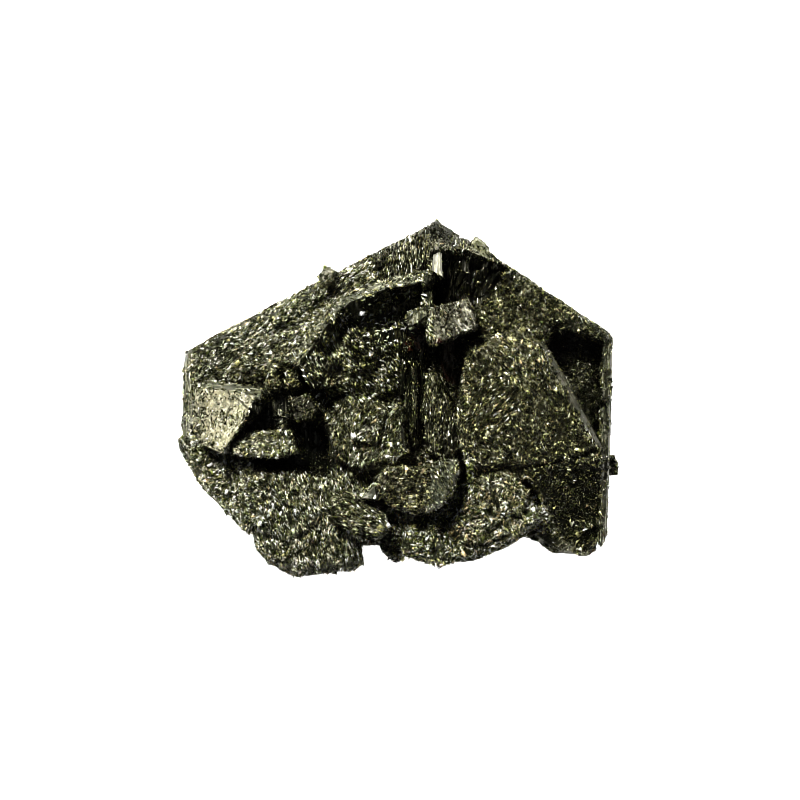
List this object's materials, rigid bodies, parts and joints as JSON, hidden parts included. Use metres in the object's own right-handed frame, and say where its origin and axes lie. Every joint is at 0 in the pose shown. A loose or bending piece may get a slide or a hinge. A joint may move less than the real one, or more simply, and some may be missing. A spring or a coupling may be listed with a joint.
{
  "type": "epidote crystal cluster",
  "caption": "Dark green cluster of intergrown epidote crystals with a pointed top, sugary fine crystals over flat faces, lying on its flat broken back.",
  "frame": {"origin": "middle of the cluster's bounding box, on the flat broken back", "axes": "+X to the right of the cluster as seen from the front, +Y towards its pointed top, +Z out of its front"},
  "size_m": [0.0886, 0.071, 0.028],
  "materials": {
    "epidote": "glossy crystal faces, blackish green, with paler olive and grey-green fine crystals"
  },
  "bodies": {
    "root": {"epidote_cluster": "epidote"}
  },
  "joints": []
}
